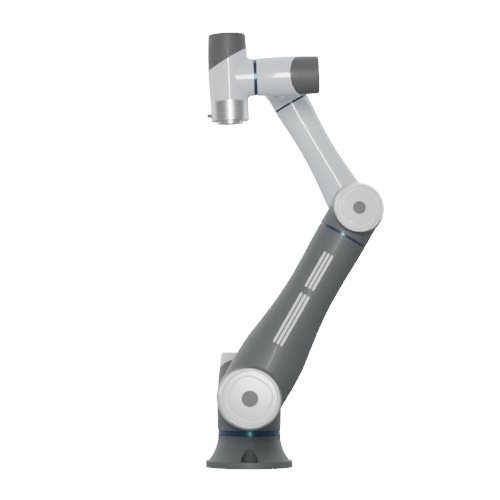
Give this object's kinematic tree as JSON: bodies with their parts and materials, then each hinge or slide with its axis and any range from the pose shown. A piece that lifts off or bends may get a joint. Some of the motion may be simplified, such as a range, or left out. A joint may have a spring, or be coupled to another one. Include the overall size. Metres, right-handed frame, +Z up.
{
  "type": "six-axis robot arm",
  "caption": "Six-axis jointed robot arm: flared bolt-down base, barrel-shaped drive modules with slanted caps, tapered tubular links and a drilled tool flange.",
  "frame": {"origin": "centre of the base's underside, on joint 1's axis", "axes": "+Z up along joint 1's axis; the upper arm leans towards +X and stands on the -Y side; the cable socket faces between +X and +Y"},
  "size_m": [0.4249, 0.3991, 1.0365],
  "materials": {
    "dark_paint": "satin grey paint on cast aluminium",
    "light_paint": "satin light grey paint on cast aluminium",
    "cover_white": "moulded, light grey",
    "cap_dark": "moulded, dark grey",
    "seal_blue": "moulded, dark blue",
    "badge": "moulded, dark grey",
    "flange_metal": "turned, clear anodised",
    "plate_metal": "plain sheet",
    "socket_plastic": "moulded, black, with plated contacts",
    "screw_steel": "zinc plated",
    "gear_steel": "ground and oiled",
    "output_metal": "turned and ground",
    "stator_core": "laminated, with copper windings",
    "rotor_metal": "turned, with bonded magnets",
    "board": "circuit board with parts on it"
  },
  "bodies": {
    "base": {"base_casting": "dark_paint", "base_bottom_plate": "plate_metal", "base_cable_socket": "socket_plastic", "base_socket_screws": "screw_steel", "j1_gear_output": "output_metal"},
    "shoulder": {"shoulder_housing": "dark_paint", "shoulder_cap": "cover_white", "shoulder_seal_ring": "seal_blue", "j1_gear_ring": "gear_steel", "j1_motor_stator": "stator_core", "j1_motor_rotor": "rotor_metal", "j1_drive_board": "board", "j2_gear_output": "output_metal"},
    "upper_arm": {"upper_arm_shell": "dark_paint", "shoulder_joint_cover": "cover_white", "shoulder_joint_seal_ring": "seal_blue", "upper_arm_ring": "seal_blue", "elbow_housing": "dark_paint", "elbow_joint_cover": "cover_white", "elbow_seal_ring": "seal_blue", "cover_badges": "badge", "j2_gear_ring": "gear_steel", "j2_motor_stator": "stator_core", "j2_motor_rotor": "rotor_metal", "j2_drive_board": "board", "j3_gear_ring": "gear_steel", "j3_motor_stator": "stator_core", "j3_motor_rotor": "rotor_metal", "j3_drive_board": "board"},
    "forearm": {"forearm_shell": "light_paint", "forearm_ring": "seal_blue", "wrist_1_housing": "light_paint", "wrist_1_cap": "cap_dark", "wrist_1_seal_ring": "seal_blue", "j3_gear_output": "output_metal", "j4_gear_ring": "gear_steel", "j4_motor_stator": "stator_core", "j4_motor_rotor": "rotor_metal", "j4_drive_board": "board"},
    "wrist_2": {"wrist_2_housing": "light_paint", "wrist_2_cap": "cap_dark", "wrist_2_seal_ring": "seal_blue", "j4_gear_output": "output_metal", "j5_gear_ring": "gear_steel", "j5_motor_stator": "stator_core", "j5_motor_rotor": "rotor_metal", "j5_drive_board": "board"},
    "wrist_3": {"wrist_3_housing": "light_paint", "wrist_3_cap": "cap_dark", "wrist_3_end_ring": "flange_metal", "j5_gear_output": "output_metal", "j6_gear_ring": "gear_steel", "j6_motor_stator": "stator_core", "j6_motor_rotor": "rotor_metal", "j6_drive_board": "board"},
    "tool": {"tool_flange": "flange_metal", "flange_screws": "screw_steel", "tool_socket": "socket_plastic", "j6_gear_output": "output_metal"}
  },
  "joints": [
    {"name": "joint_1_base", "type": "hinge", "parent": "base", "child": "shoulder", "pos_m": [0, 0, 0.1765], "axis": [0, 0, 1], "range_deg": [-360, 360]},
    {"name": "joint_2_shoulder", "type": "hinge", "parent": "shoulder", "child": "upper_arm", "pos_m": [0, -0.186, 0.1765], "axis": [0, 1, 0], "range_deg": [-360, 360]},
    {"name": "joint_3_elbow", "type": "hinge", "parent": "upper_arm", "child": "forearm", "pos_m": [0.25523, -0.186, 0.62035], "axis": [0, 1, 0], "range_deg": [-74, 208]},
    {"name": "joint_4_wrist_1", "type": "hinge", "parent": "forearm", "child": "wrist_2", "pos_m": [0.07455, -0.02, 0.93519], "axis": [0, 1, 0], "range_deg": [-360, 360]},
    {"name": "joint_5_wrist_2", "type": "hinge", "parent": "wrist_2", "child": "wrist_3", "pos_m": [0.07455, -0.191, 0.93519], "axis": [0.9991, 0, 0.0419], "range_deg": [-360, 360]},
    {"name": "joint_6_wrist_3", "type": "hinge", "parent": "wrist_3", "child": "tool", "pos_m": [-0.05034, -0.191, 0.92996], "axis": [0.0419, 0, -0.9991], "range_deg": [-360, 360]}
  ]
}
